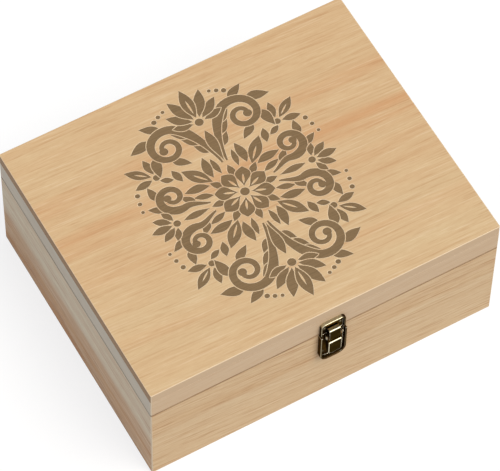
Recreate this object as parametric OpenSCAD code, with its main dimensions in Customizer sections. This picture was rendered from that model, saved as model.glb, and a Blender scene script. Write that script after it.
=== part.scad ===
// Hinged keepsake box: a mitred wooden case and lid, two stop hinges at the back
// and a small bronze draw catch at the front. Millimetres. The front faces -Y,
// +Z is up, and the origin is the middle of the underside.

/* [Case] */
// Outside width of the case and the lid
box_w = 300; // [200:1:420]
// Outside depth of the case and the lid, without the metalwork
box_d = 240; // [150:1:340]
// Height of the case walls
case_h = 89.6; // [60:0.2:160]
// Thickness of the case walls
wall_t = 9; // [7.5:0.5:14]
// Thickness of the bottom panel
bottom_t = 5; // [3:0.5:10]
// How far the bottom panel is let into each wall
rebate_w = 4; // [2:0.5:5]
// Width of the eased outside edges
ease = 0.8; // [0.3:0.1:1.6]
// Width of the eased edges where the case and the lid meet
seam_ease = 0.2; // [0.1:0.05:0.6]

/* [Lid] */
// Gap between the case and the closed lid
lid_gap = 0.8; // [0.2:0.1:1.2]
// Height of the rails under the top panel
rail_h = 19.6; // [16:0.2:60]
// Thickness of the lid's rails
rail_t = 9; // [7.5:0.5:14]
// Thickness of the top panel
top_t = 10; // [4:0.5:14]

/* [Hinges] */
// Distance from the middle of the box to the middle of each hinge
hinge_x = 92; // [60:1:120]
// Length of a hinge along the box
hinge_len = 32; // [26:1:40]
// Width of a leaf, from the pin's axis to its free edge
leaf_h = 17; // [15:0.5:20]
// Thickness of a leaf
leaf_t = 1; // [0.8:0.1:1.4]
// Outer radius of the knuckles
knuckle_r = 2.2; // [2:0.1:2.8]
// Radius of the hinge pin
hinge_pin_r = 1.1; // [0.8:0.1:1.2]
// Angle at which the lid meets its stop
stop_angle = 100; // [90:1:110]
// Length of the stop lip below the pin's axis, once it has met the leaf
stop_len = 7; // [5:0.5:9]

/* [Catch] */
// Distance of the catch from the middle of the front
catch_x = 4; // [-40:1:40]
// Outside width of the keeper on the lid
keeper_w = 21.4; // [20.8:0.2:30]
// Height of the keeper
keeper_h = 14.6; // [13.4:0.2:20]
// How far the keeper's rim stands off the wood
keeper_d = 3.2; // [2.2:0.2:4]
// Outside width of the base on the case
base_w = 22.6; // [21.4:0.2:30]
// Height of the base
base_h = 34.2; // [33:0.2:48]
// How far the base's rim stands off the wood
base_d = 4.6; // [3:0.2:5]
// Thickness of the rims
rim_t = 1.6; // [0.8:0.1:1.8]
// Thickness of the sheet that the keeper and the base are pressed from
floor_t = 1; // [0.8:0.1:1.2]
// Corner radius at the top of the keeper
keeper_r = 4; // [2:0.5:5]
// Corner radius at the foot of the base
base_r = 7.5; // [2:0.5:9]
// Width of the lever
lever_w = 11.6; // [10.6:0.2:13]
// Length of the lever's thumb plate
thumb_h = 16; // [10:0.5:18]
// Thickness of the lever and the link
sheet_t = 0.8; // [0.6:0.1:0.9]
// Height of the link above the pin that it turns on
link_h = 12.6; // [12:0.1:15]
// Distance between the lever's pivot and the link's pin
throw_r = 3.6; // [3.4:0.1:4]

/* [Fasteners] */
// Length of a hinge screw or a catch nail inside the wood
fastener_len = 7; // [5:0.5:7]
// Radius of a screw's shank
screw_r = 1.1; // [0.9:0.1:1.3]
// Radius of a screw's countersunk head
screw_head_r = 2.1; // [1.9:0.1:2.3]
// Radius of a nail's shank
nail_r = 0.6; // [0.5:0.1:0.8]
// Radius of a nail's domed head
nail_head_r = 1.5; // [1.2:0.1:1.6]

/* [Hidden] */
$fn = 48;

wood = [0.83, 0.68, 0.47];
bronze = [0.28, 0.23, 0.15];
dark_steel = [0.35, 0.31, 0.25];

// Clearances
glue_gap = 0.2;      // round the edge of the bottom panel
pin_clear = 0.05;    // between a pin and the hole that it turns in
wood_clear = 0.02;   // between a fastener and its pilot hole
side_clear = 0.2;    // between parts that slide past each other side by side
eps = 0.01;          // overlap that makes two cuts meet cleanly

// Levels
front_y = -box_d / 2;
back_y = box_d / 2;
lid_z = case_h + lid_gap;
panel_z = lid_z + rail_h;
lid_top_z = panel_z + top_t;

// Hinges: the axis lies in the seam, behind the back
knuckle_back = 0.1;  // between a knuckle and the back of the box
axis_out = knuckle_back + knuckle_r;
hinge_y = back_y + axis_out;
hinge_z = case_h + lid_gap / 2;
middle_knuckle = hinge_len * 0.4;
knuckle_gap = 0.4;   // between a knuckle and the other leaf's plate
stop_clear = 0.15;   // between the stop lip and the case's leaf, with the lid open
leaf_start = knuckle_r + knuckle_gap;
pin_cap_r = hinge_pin_r + 0.5;
pin_cap_t = 0.5;
screw_dx = hinge_len * 0.3;
screw_dz = (leaf_start + leaf_h) / 2;
screw_tip = 2;
slot_w = 0.5;
slot_deep = 0.6;

// Catch, measured outwards from the front of the box and up from the table
catch_gap = 0.4;
keeper_z = lid_z + catch_gap / 2;
base_top_z = case_h - catch_gap;
ear_t = 0.9;
ear_r = 1.8;
ear_foot = 6;        // how far the foot of an ear reaches below the pivot
rivet_r = 1;
rivet_head_r = rivet_r + 0.5;
rivet_head_t = 0.6;
link_pin_r = 0.8;
curl_r = 2 * sheet_t;
curl_gap = 1.4;      // between the link's curl and the base, for the swing
lever_in = lever_w / 2 - sheet_t;
link_w = 2 * (lever_in - 1.5 * side_clear);
ear_in = lever_w / 2 + side_clear;
ear_out = ear_in + ear_t;
pivot_u = floor_t + curl_r + curl_gap;
pivot_z = base_top_z - ear_r + side_clear;
link_pin_z = pivot_z - throw_r;
link_u = pivot_u + curl_r - sheet_t;
link_top_z = link_pin_z + link_h;
thumb_u = link_u + sheet_t + side_clear;
thumb_gap = 0.7;     // between the link's curl and the top of the thumb plate
thumb_top_z = link_pin_z - curl_r - thumb_gap;
thumb_low_z = thumb_top_z - thumb_h;
thumb_r = 2.5;
cheek_cut = 6;       // height of the slope at the foot of the lever's cheeks

// Keeper hook: a tab with a turned-up lip that the link's turned-down lip sits behind
hook_gap = 0.4;      // between the link's lip and the keeper
hook_seat = 0.3;     // between the link's lip and the tab below it
hook_front = 0.6;    // between the tab's lip and the link in front of it
lip_in_u = floor_t + hook_gap;
lip_drop = 3;
lip_low_z = link_top_z - lip_drop;
tab_top_z = lip_low_z - hook_seat;
tab_t = 0.9;
tab_u = link_u - hook_front;
tab_lip_t = 0.6;
lip_overlap = 0.4;
tab_w = link_w - 1;

// Nails: midway between the rim and what moves beside them
keeper_nail_x = (keeper_w / 2 - rim_t + link_w / 2) / 2;
keeper_nail_z = keeper_z + 6.3;
base_nail_x = (base_w / 2 - rim_t + lever_w / 2) / 2;
base_nail_z = base_top_z - base_h + 9;
nail_tip = 1.5;
nail_dome = 0.7;

// A box with its vertical edges eased, and its lower and upper edges by widths of their own
module eased_box(low_z, high_z, low_ease, high_ease) {
    function side(half) = [
        [-half, low_z + low_ease], [-half + low_ease, low_z],
        [half - low_ease, low_z], [half, low_z + low_ease],
        [half, high_z - high_ease], [half - high_ease, high_z],
        [-half + high_ease, high_z], [-half, high_z - high_ease]
    ];
    x = box_w / 2;
    y = box_d / 2;
    intersection() {
        translate([-x - 1, 0, 0])
            rotate([90, 0, 90])
                linear_extrude(box_w + 2)
                    polygon(side(y));
        translate([0, y + 1, 0])
            rotate([90, 0, 0])
                linear_extrude(box_d + 2)
                    polygon(side(x));
        translate([0, 0, low_z - 1])
            linear_extrude(high_z - low_z + 2)
                polygon([
                    [-x + ease, -y], [x - ease, -y], [x, -y + ease], [x, y - ease],
                    [x - ease, y], [-x + ease, y], [-x, y - ease], [-x, -y + ease]
                ]);
    }
}

// Plan of one mitred side of a frame: side 0 is the front, 1 right, 2 back, 3 left
module mitre_plan(side, thick) {
    x = box_w / 2;
    y = box_d / 2;
    outer = [[-x, -y], [x, -y], [x, y], [-x, y]];
    inner = [
        [-x + thick, -y + thick], [x - thick, -y + thick],
        [x - thick, y - thick], [-x + thick, y - thick]
    ];
    next = (side + 1) % 4;
    polygon([outer[side], outer[next], inner[next], inner[side]]);
}

// Pilot holes in the wood
module at_screws(up) {
    for (h = [-1, 1], s = [-1, 1])
        translate([h * hinge_x + s * screw_dx, back_y, hinge_z + up * screw_dz])
            rotate([-90, 0, 0])
                children();
}

module at_nails(x, z) {
    for (s = [-1, 1])
        translate([catch_x + s * x, front_y, z])
            rotate([90, 0, 0])
                children();
}

module pilot(r) {
    translate([0, 0, -fastener_len - 0.2])
        cylinder(h = fastener_len + 0.2 + eps, r = r + wood_clear);
}

// Case
module case_wall(side) {
    difference() {
        intersection() {
            eased_box(0, case_h, ease, seam_ease);
            translate([0, 0, -1])
                linear_extrude(case_h + 2)
                    mitre_plan(side, wall_t);
        }
        translate([-box_w / 2 + wall_t - rebate_w, -box_d / 2 + wall_t - rebate_w, -1])
            cube([box_w - 2 * (wall_t - rebate_w), box_d - 2 * (wall_t - rebate_w), bottom_t + 1]);
        if (side == 0) at_nails(base_nail_x, base_nail_z) pilot(nail_r);
        if (side == 2) at_screws(-1) pilot(screw_r);
    }
}

module front_wall() { color(wood) case_wall(0); }
module right_wall() { color(wood) case_wall(1); }
module back_wall() { color(wood) case_wall(2); }
module left_wall() { color(wood) case_wall(3); }

module bottom_panel() {
    edge = wall_t - rebate_w + glue_gap;
    color(wood)
        translate([-box_w / 2 + edge, -box_d / 2 + edge, 0])
            cube([box_w - 2 * edge, box_d - 2 * edge, bottom_t]);
}

// Lid
module lid_rail(side) {
    difference() {
        intersection() {
            eased_box(lid_z, lid_top_z, seam_ease, ease);
            translate([0, 0, lid_z - 1])
                linear_extrude(rail_h + 1)
                    mitre_plan(side, rail_t);
        }
        if (side == 0) at_nails(keeper_nail_x, keeper_nail_z) pilot(nail_r);
        if (side == 2) at_screws(1) pilot(screw_r);
    }
}

module lid_front_rail() { color(wood) lid_rail(0); }
module lid_right_rail() { color(wood) lid_rail(1); }
module lid_back_rail() { color(wood) lid_rail(2); }
module lid_left_rail() { color(wood) lid_rail(3); }

module lid_top_panel() {
    color(wood)
        intersection() {
            eased_box(lid_z, lid_top_z, seam_ease, ease);
            translate([-box_w, -box_d, panel_z])
                cube([2 * box_w, 2 * box_d, top_t + 1]);
        }
}

// Hinges. up is 1 for the lid's leaf and -1 for the case's
module knuckle(from_x, to_x, r) {
    translate([from_x, hinge_y, hinge_z])
        rotate([0, 90, 0])
            cylinder(h = to_x - from_x, r = r);
}

module leaf_plate(from_x, to_x, up, near) {
    low = up > 0 ? near : -leaf_h;
    translate([from_x, back_y, hinge_z + low])
        cube([to_x - from_x, leaf_t, leaf_h - near]);
}

module stop_lip(half) {
    translate([0, hinge_y, hinge_z])
        rotate([stop_angle, 0, 0])
            translate([-half, leaf_t + stop_clear - axis_out, -stop_len])
                cube([2 * half, leaf_t, stop_len - (knuckle_r + hinge_pin_r) / 2]);
}

module hinge_leaf(h, up) {
    half = hinge_len / 2;
    own_half = middle_knuckle / 2 - side_clear / 2;
    color(bronze)
        translate([h * hinge_x, 0, 0])
            difference() {
                union() {
                    leaf_plate(-half, half, up, leaf_start);
                    if (up > 0) {
                        leaf_plate(-own_half, own_half, up, 0);
                        knuckle(-own_half, own_half, knuckle_r);
                        stop_lip(own_half);
                    } else {
                        for (s = [-1, 1]) {
                            near = s > 0 ? middle_knuckle / 2 : -half;
                            far = s > 0 ? half : -middle_knuckle / 2;
                            leaf_plate(near, far, up, 0);
                            knuckle(near, far, knuckle_r);
                        }
                    }
                }
                knuckle(-half - 1, half + 1, hinge_pin_r + pin_clear);
                for (s = [-1, 1])
                    translate([s * screw_dx, back_y, hinge_z + up * screw_dz])
                        rotate([-90, 0, 0])
                            screw_seat();
            }
}

module screw_seat() {
    translate([0, 0, -1])
        cylinder(h = leaf_t + 2, r = screw_r + pin_clear);
    translate([0, 0, leaf_t - (screw_head_r - screw_r)])
        cylinder(
            h = screw_head_r - screw_r + eps,
            r1 = screw_r + pin_clear,
            r2 = screw_head_r + pin_clear + eps
        );
}

module left_hinge_case_leaf() { hinge_leaf(-1, -1); }
module left_hinge_lid_leaf() { hinge_leaf(-1, 1); }
module right_hinge_case_leaf() { hinge_leaf(1, -1); }
module right_hinge_lid_leaf() { hinge_leaf(1, 1); }

module hinge_pin(h) {
    half = hinge_len / 2;
    color(dark_steel)
        translate([h * hinge_x, 0, 0]) {
            knuckle(-half - pin_cap_t, half + pin_cap_t, hinge_pin_r);
            knuckle(-half - pin_cap_t, -half, pin_cap_r);
            knuckle(half, half + pin_cap_t, pin_cap_r);
        }
}

module left_hinge_pin() { hinge_pin(-1); }
module right_hinge_pin() { hinge_pin(1); }

// A countersunk screw along Z: its head's face is at the height of the leaf
module screw() {
    head_h = screw_head_r - screw_r;
    slot_len = 2.2 * screw_r;
    difference() {
        union() {
            translate([0, 0, leaf_t - head_h])
                cylinder(h = head_h, r1 = screw_r, r2 = screw_head_r);
            translate([0, 0, -fastener_len + screw_tip])
                cylinder(h = fastener_len - screw_tip + leaf_t - head_h, r = screw_r);
            translate([0, 0, -fastener_len])
                cylinder(h = screw_tip, r1 = screw_r / 5, r2 = screw_r);
        }
        for (turn = [0, 90])
            rotate([0, 0, turn])
                translate([-slot_len / 2, -slot_w / 2, leaf_t - slot_deep])
                    cube([slot_len, slot_w, slot_deep + 1]);
    }
}

module hinge_case_screws() { color(bronze) at_screws(-1) screw(); }
module hinge_lid_screws() { color(bronze) at_screws(1) screw(); }

// Catch. Places local Z outwards from the front of the box, with local Y upwards
module on_front() {
    translate([catch_x, front_y, 0])
        rotate([90, 0, 0])
            children();
}

// Extrudes a profile, drawn as [distance off the wood, height], along the front
module across(from_x, to_x) {
    translate([catch_x + to_x, front_y, 0])
        rotate([90, 0, -90])
            linear_extrude(to_x - from_x)
                children();
}

// A plate's outline with its far corners rounded. foot is true for the corners below
module plate_outline(w, low, high, r, foot) {
    square_low = foot ? low + r : low;
    square_high = foot ? high : high - r;
    round_z = foot ? low + r : high - r;
    translate([-w / 2, square_low])
        square([w, square_high - square_low]);
    translate([-w / 2 + r, low])
        square([w - 2 * r, high - low]);
    for (s = [-1, 1])
        translate([s * (w / 2 - r), round_z])
            circle(r);
}

module tray(w, depth, low, high, r, foot) {
    difference() {
        linear_extrude(depth)
            plate_outline(w, low, high, r, foot);
        translate([0, 0, floor_t])
            linear_extrude(depth)
                plate_outline(
                    w - 2 * rim_t,
                    foot ? low + rim_t : low - 1,
                    foot ? high + 1 : high - rim_t,
                    r - rim_t,
                    foot
                );
    }
}

module nail_seat() {
    translate([0, 0, -1])
        cylinder(h = floor_t + 2, r = nail_r + pin_clear);
}

module catch_keeper() {
    color(bronze)
        difference() {
            union() {
                on_front() tray(keeper_w, keeper_d, keeper_z, keeper_z + keeper_h, keeper_r, false);
                across(-tab_w / 2, tab_w / 2)
                    polygon([
                        [floor_t / 2, tab_top_z - tab_t],
                        [tab_u, tab_top_z - tab_t],
                        [tab_u, lip_low_z + lip_overlap],
                        [tab_u - tab_lip_t, lip_low_z + lip_overlap],
                        [tab_u - tab_lip_t, tab_top_z],
                        [floor_t / 2, tab_top_z]
                    ]);
            }
            at_nails(keeper_nail_x, keeper_nail_z) nail_seat();
        }
}

module ear_profile() {
    translate([pivot_u, pivot_z])
        circle(ear_r);
    polygon([
        [floor_t / 2, pivot_z - ear_foot],
        [pivot_u, pivot_z - ear_r],
        [pivot_u, pivot_z + ear_r],
        [floor_t / 2, base_top_z]
    ]);
}

module catch_base() {
    color(bronze)
        difference() {
            union() {
                on_front() tray(base_w, base_d, base_top_z - base_h, base_top_z, base_r, true);
                for (s = [-1, 1]) {
                    near = s > 0 ? ear_in : -ear_out;
                    across(near, near + ear_t) ear_profile();
                }
            }
            at_nails(base_nail_x, base_nail_z) nail_seat();
            across(-ear_out - side_clear, ear_out + side_clear)
                translate([pivot_u, pivot_z])
                    circle(rivet_r + pin_clear);
        }
}

module lever_side_profile() {
    translate([pivot_u, pivot_z])
        circle(ear_r);
    polygon([
        [pivot_u - ear_r, pivot_z],
        [pivot_u - ear_r, thumb_low_z + cheek_cut],
        [pivot_u, thumb_low_z + thumb_r],
        [thumb_u + sheet_t, thumb_low_z + thumb_r],
        [thumb_u + sheet_t, thumb_top_z],
        [pivot_u + ear_r, link_pin_z],
        [pivot_u + ear_r, pivot_z]
    ]);
}

module catch_lever() {
    color(bronze)
        difference() {
            union() {
                on_front()
                    translate([0, 0, thumb_u])
                        linear_extrude(sheet_t)
                            plate_outline(lever_w, thumb_low_z, thumb_top_z, thumb_r, true);
                for (s = [-1, 1]) {
                    near = s > 0 ? lever_in : -lever_w / 2;
                    across(near, near + sheet_t) lever_side_profile();
                }
            }
            across(-lever_w, lever_w) {
                translate([pivot_u, pivot_z])
                    circle(rivet_r + pin_clear);
                translate([pivot_u, link_pin_z])
                    circle(link_pin_r + pin_clear);
            }
        }
}

// Two rivets that carry the lever. They stop short of the link, which swings between them
module lever_rivets() {
    color(dark_steel)
        for (s = [-1, 1]) {
            shank = s > 0 ? lever_in : -ear_out;
            head = s > 0 ? ear_out : -ear_out - rivet_head_t;
            across(shank, shank + ear_out - lever_in)
                translate([pivot_u, pivot_z])
                    circle(rivet_r);
            across(head, head + rivet_head_t)
                translate([pivot_u, pivot_z])
                    circle(rivet_head_r);
        }
}

module catch_link() {
    color(bronze)
        difference() {
            across(-link_w / 2, link_w / 2) {
                translate([pivot_u, link_pin_z])
                    circle(curl_r);
                polygon([
                    [link_u, link_pin_z],
                    [link_u + sheet_t, link_pin_z],
                    [link_u + sheet_t, link_top_z],
                    [lip_in_u, link_top_z],
                    [lip_in_u, lip_low_z],
                    [lip_in_u + sheet_t, lip_low_z],
                    [lip_in_u + sheet_t, link_top_z - sheet_t],
                    [link_u, link_top_z - sheet_t]
                ]);
            }
            across(-lever_w, lever_w)
                translate([pivot_u, link_pin_z])
                    circle(link_pin_r + pin_clear);
        }
}

module link_pin() {
    color(dark_steel)
        across(-lever_w / 2, lever_w / 2)
            translate([pivot_u, link_pin_z])
                circle(link_pin_r);
}

// A domed nail along Z, with its head on the pressed sheet
module nail() {
    rotate_extrude()
        polygon(concat(
            [[0, -fastener_len], [nail_r, -fastener_len + nail_tip], [nail_r, floor_t]],
            [for (a = [0:15:90]) [nail_head_r * cos(a), floor_t + nail_dome * sin(a)]]
        ));
}

module keeper_nails() { color(dark_steel) at_nails(keeper_nail_x, keeper_nail_z) nail(); }
module base_nails() { color(dark_steel) at_nails(base_nail_x, base_nail_z) nail(); }

front_wall();
back_wall();
left_wall();
right_wall();
bottom_panel();
lid_top_panel();
lid_front_rail();
lid_back_rail();
lid_left_rail();
lid_right_rail();
left_hinge_case_leaf();
left_hinge_lid_leaf();
left_hinge_pin();
right_hinge_case_leaf();
right_hinge_lid_leaf();
right_hinge_pin();
hinge_case_screws();
hinge_lid_screws();
catch_keeper();
keeper_nails();
catch_base();
base_nails();
catch_lever();
lever_rivets();
catch_link();
link_pin();
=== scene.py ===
# %% [markdown]
# # A keepsake box in pale wood
# The construction is already done: every board, hinge and catch part arrives as a finished solid, in its
# real place and at its real size. What is left is the look. This lesson sets up a camera and a small white
# studio, burns an ornament into the lid, and then gives each board and each bronze part a finish worked
# out from noise and geometry alone, so nothing has to be unwrapped or painted.

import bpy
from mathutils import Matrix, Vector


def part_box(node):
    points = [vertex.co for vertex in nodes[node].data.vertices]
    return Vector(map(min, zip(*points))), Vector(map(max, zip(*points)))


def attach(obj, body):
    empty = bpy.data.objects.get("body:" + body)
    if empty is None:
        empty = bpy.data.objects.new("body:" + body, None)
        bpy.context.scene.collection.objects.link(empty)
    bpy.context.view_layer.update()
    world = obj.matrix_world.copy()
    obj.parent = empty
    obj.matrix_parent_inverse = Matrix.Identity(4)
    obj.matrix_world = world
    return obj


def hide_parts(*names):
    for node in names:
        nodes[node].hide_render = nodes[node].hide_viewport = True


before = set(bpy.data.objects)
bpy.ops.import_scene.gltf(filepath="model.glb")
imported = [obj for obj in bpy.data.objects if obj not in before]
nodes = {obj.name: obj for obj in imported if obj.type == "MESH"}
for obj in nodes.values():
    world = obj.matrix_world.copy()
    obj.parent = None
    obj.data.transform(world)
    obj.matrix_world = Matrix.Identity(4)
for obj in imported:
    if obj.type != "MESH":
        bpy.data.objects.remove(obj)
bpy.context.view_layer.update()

# %% [markdown]
# Blender measures in metres and a box maker measures in millimetres. One constant turns the second into
# the first, so every size below can be written the way it would be read off a rule.

# %% Units and tools
import math

import bmesh
import bpy
import numpy as np
from mathutils import Euler, Vector
from mathutils.geometry import delaunay_2d_cdt

MM = 0.001
scene = bpy.context.scene


def polar(radius, angle, centre=(0, 0)):
    """The point at that distance and angle, in degrees, from a centre."""
    turn = math.radians(angle)
    return np.array([centre[0] + radius * math.cos(turn), centre[1] + radius * math.sin(turn)])


def colour(red, green, blue):
    """A colour as it is read off a screen (0 to 255), turned into the linear light that a shader wants."""
    def linear(level):
        share = level / 255
        return share / 12.92 if share <= 0.04045 else ((share + 0.055) / 1.055) ** 2.4
    return (linear(red), linear(green), linear(blue), 1)


print("one millimetre is", MM, "Blender units")

# %% [markdown]
# The box is seen from high above its front-left corner through a long lens, so the lid almost fills the
# picture and its edges stay nearly parallel. A long lens is an ordinary camera moved far back with a
# large focal length. The camera leans over sideways by less than a degree, as one held in the hand does.

# %% Camera
CAMERA_PLACE = Vector((-734.2, -1240.2, 2441.6)) * MM
CAMERA_TURN = Euler([math.radians(a) for a in (31.110, -0.719, -29.517)], "XYZ")
FOCAL_LENGTH = 260.45
SENSOR_WIDTH = 36

camera = bpy.data.objects.new("camera", bpy.data.cameras.new("camera"))
camera.location = CAMERA_PLACE
camera.rotation_euler = CAMERA_TURN
camera.data.lens = FOCAL_LENGTH
camera.data.sensor_width = SENSOR_WIDTH
scene.collection.objects.link(camera)
scene.camera = camera
scene.view_settings.view_transform = "Standard"
print("camera is", round(CAMERA_PLACE.length, 2), "m from the middle of the underside")

# %% [markdown]
# A material in Blender is a graph of small nodes. A few helpers keep the graphs readable: one adds a node
# and fills its sockets with numbers or with other nodes' outputs, and the others use it to lay one colour
# over another, to do one step of arithmetic, to stretch a range, and to begin a material.

# %% Helpers for shader graphs
def add(tree, kind, sockets=None, **settings):
    """Add a shader node: settings are its switches, sockets its inputs, a value or another's output."""
    node = tree.nodes.new("ShaderNode" + kind)
    for name, value in settings.items():
        setattr(node, name, value)
    for name, value in (sockets or {}).items():
        if isinstance(value, bpy.types.NodeSocket):
            tree.links.new(value, node.inputs[name])
        else:
            node.inputs[name].default_value = value
    return node


MIX_FACTOR, MIX_UNDER, MIX_OVER, MIX_RESULT = 0, 6, 7, 2


def lay_over(tree, factor, under, over, blend="MIX"):
    """Lay a colour over another by a factor, which may come from a node."""
    node = add(tree, "Mix", {MIX_FACTOR: factor, MIX_UNDER: under, MIX_OVER: over},
               data_type="RGBA", blend_type=blend)
    return node.outputs[MIX_RESULT]


def sum_of(tree, operation, *values):
    """One arithmetic step on one, two or three numbers."""
    return add(tree, "Math", dict(enumerate(values)), operation=operation).outputs[0]


def stretch(tree, value, low, high, to_low=0.0, to_high=1.0):
    """Map the range low..high of a number onto another range, and hold it inside."""
    sockets = {"Value": value, "From Min": low, "From Max": high, "To Min": to_low, "To Max": to_high}
    return add(tree, "MapRange", sockets).outputs["Result"]


def new_material(name):
    """An empty material with its output node; returns the material, its tree and the output's socket."""
    material = bpy.data.materials.new(name)
    material.use_nodes = True
    tree = material.node_tree
    tree.nodes.clear()
    output = add(tree, "OutputMaterial")
    return material, tree, output.inputs["Surface"]


print("helpers ready")

# %% [markdown]
# The studio is a white room: even, slightly cool light from all round, and one large soft lamp at the
# front right. The left side of the box only gets the room's light, which is why it looks greyer than the
# front. To the camera, and in reflections, the room is pure white. A Light Path node makes that split,
# so the background doesn't depend on how strongly the room lights the box.

# %% Room light and lamp
ROOM_LIGHT = (0.45, 0.48, 0.545, 1)
LAMP_COLOUR = (1.0, 0.93, 0.83)
LAMP_ENERGY = 2.12
LAMP_FROM = Vector((0.28, -0.44, 0.853))
LAMP_SOFTNESS = 35


def seen_directly(tree):
    """1 for rays from the camera, off a shiny surface or through glass; 0 for the light itself."""
    path = add(tree, "LightPath").outputs
    seen = sum_of(tree, "MAXIMUM", path["Is Camera Ray"], path["Is Glossy Ray"])
    return sum_of(tree, "MAXIMUM", seen, path["Is Transmission Ray"])


world = bpy.data.worlds.new("white_room")
world.use_nodes = True
world.node_tree.nodes.clear()
room = add(world.node_tree, "Background", {"Color": ROOM_LIGHT, "Strength": 1.0})
white = add(world.node_tree, "Background", {"Color": (1, 1, 1, 1), "Strength": 1.0})
both = add(world.node_tree, "MixShader", {0: seen_directly(world.node_tree), 1: room.outputs[0],
                                          2: white.outputs[0]})
add(world.node_tree, "OutputWorld", {"Surface": both.outputs[0]})
scene.world = world

lamp = bpy.data.objects.new("soft_lamp", bpy.data.lights.new("soft_lamp", "SUN"))
lamp.data.energy = LAMP_ENERGY
lamp.data.color = LAMP_COLOUR
lamp.data.angle = math.radians(LAMP_SOFTNESS)
lamp.rotation_euler = LAMP_FROM.to_track_quat("Z", "Y").to_euler()
scene.collection.objects.link(lamp)
print("lamp stands", round(math.degrees(LAMP_FROM.angle(Vector((0, 0, 1))))), "degrees off overhead")

# %% [markdown]
# The floor is a sheet of pale paper, far wider than the box. It bounces light like white paper, and to the
# camera it adds a little light of its own, just enough to reach the white of the background while the
# box's shadow still shows on it. A window is cut out of it where the box stands, a little smaller than
# the box. Nothing shows from above, but from below the underside can be lit and looked at.

# %% Floor
FLOOR_REACH = 4.0
FLOOR_DROP = 0.05 * MM
WINDOW_INSET = 3 * MM
FLOOR_BOUNCE = 0.6
FLOOR_GRAIN = 0.02
FLOOR_GRAIN_SCALE = 900.0
FLOOR_GLOW = 0.76
FLOOR_SHADOW = 0.27


def grey(level):
    return (level, level, level, 1)


def paper_floor():
    """Paper with a faint grain for the light, and a glow with a shadow on it for the camera."""
    material, tree, surface = new_material("paper_floor")
    grain = add(tree, "TexNoise", {"Scale": FLOOR_GRAIN_SCALE, "Detail": 2.0})
    dark, light = grey(FLOOR_BOUNCE - FLOOR_GRAIN), grey(FLOOR_BOUNCE + FLOOR_GRAIN)
    paper = lay_over(tree, grain.outputs[0], dark, light)
    bounce = add(tree, "BsdfDiffuse", {"Color": paper})
    shade = add(tree, "BsdfDiffuse", {"Color": grey(FLOOR_SHADOW)})
    glow = add(tree, "Emission", {"Color": (1, 1, 1, 1), "Strength": FLOOR_GLOW})
    shown = add(tree, "AddShader", {0: shade.outputs[0], 1: glow.outputs[0]})
    split = add(tree, "MixShader", {0: seen_directly(tree), 1: bounce.outputs[0], 2: shown.outputs[0]})
    tree.links.new(split.outputs[0], surface)
    return material


def rectangle(mesh, half_x, half_y):
    """Four corners round the middle, just under the level that the box stands on."""
    corners = ((-half_x, -half_y), (half_x, -half_y), (half_x, half_y), (-half_x, half_y))
    return [mesh.verts.new((x, y, -FLOOR_DROP)) for x, y in corners]


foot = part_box("right_wall")[1]
sheet = bmesh.new()
window = rectangle(sheet, foot.x - WINDOW_INSET, foot.y - WINDOW_INSET)
border = rectangle(sheet, FLOOR_REACH, FLOOR_REACH)
for side in range(4):
    ahead = (side + 1) % 4
    sheet.faces.new((window[side], border[side], border[ahead], window[ahead]))
floor = bpy.data.objects.new("paper_floor", bpy.data.meshes.new("paper_floor"))
sheet.to_mesh(floor.data)
sheet.free()
floor.data.materials.append(paper_floor())
scene.collection.objects.link(floor)
print("floor is", 2 * FLOOR_REACH, "m across")

# %% [markdown]
# ## The wood
# Every board is the same pale, close-grained softwood, planed and sanded but not varnished. What the eye
# reads as wood is a stack of stripes that all run along the grain: slow bands where the tree grew at
# different speeds, thin growth lines, and fine short fibres. Object coordinates are stretched along the
# grain to make each of them, so the figure runs through the board and comes out on every face, end grain
# included. A picture of wood would be quicker, but it would repeat and would need unwrapping.

# %% Stripes that run along the grain
MM_PER_METRE = 1000.0


def grain_space(tree, along, tilt, shift):
    """Millimetres inside the board, with X along the grain; tilt turns the figure on the board's face."""
    place = add(tree, "TexCoord")
    turns = {"X": (0, math.radians(tilt), 0), "flat": (0, 0, math.radians(tilt)),
             "Y": (math.radians(tilt), 0, math.radians(-90))}
    scaled = add(tree, "Mapping", {"Vector": place.outputs["Object"], "Location": shift,
                                   "Rotation": turns[along], "Scale": (MM_PER_METRE,) * 3})
    return place, scaled.outputs["Vector"]


def stripes(tree, where, length, width, detail=2.0, roughness=0.5):
    """Noise drawn out into stripes of about that length and width, in millimetres."""
    squeezed = add(tree, "VectorMath", {0: where, 1: (1 / length, 1 / width, 1 / width)},
                   operation="MULTIPLY")
    noise = add(tree, "TexNoise", {"Vector": squeezed.outputs[0], "Scale": 1.0, "Detail": detail,
                                   "Roughness": roughness})
    return noise.outputs[0]


DRIFT_STRIPE = (240, 50, 1.0)
DRIFT_RANGE = (0.25, 0.75)
DRIFT = 2.5


def wandering(tree, where):
    """Let the grain wander sideways by a few millimetres, as it does round the knots of a real tree."""
    drift = stretch(tree, stripes(tree, where, *DRIFT_STRIPE), *DRIFT_RANGE, -DRIFT, DRIFT)
    sideways = add(tree, "CombineXYZ", {1: drift, 2: drift})
    return add(tree, "VectorMath", {0: where, 1: sideways.outputs[0]}, operation="ADD").outputs[0]


print("stripes and wander ready")

# %% [markdown]
# A tree is a stack of cones, one for each year. Seen in a sawn board they are long lines, close together
# where the board passes near square to them and wide apart where it grazes them. Distance from a line
# outside the board, the pith of the tree, gives both at once; it is cut into years, and each year darkens
# slowly and ends sharply, as a summer does. The pith is nearly as long as the tree, so the distance along
# the grain hardly counts.

# %% Growth lines
TREE_TAPER = 0.02
YEAR_STRIPE = (900, 30, 2.0)
YEAR_UNEVEN = 3.0
YEAR_SHARPNESS = 3.0


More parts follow.
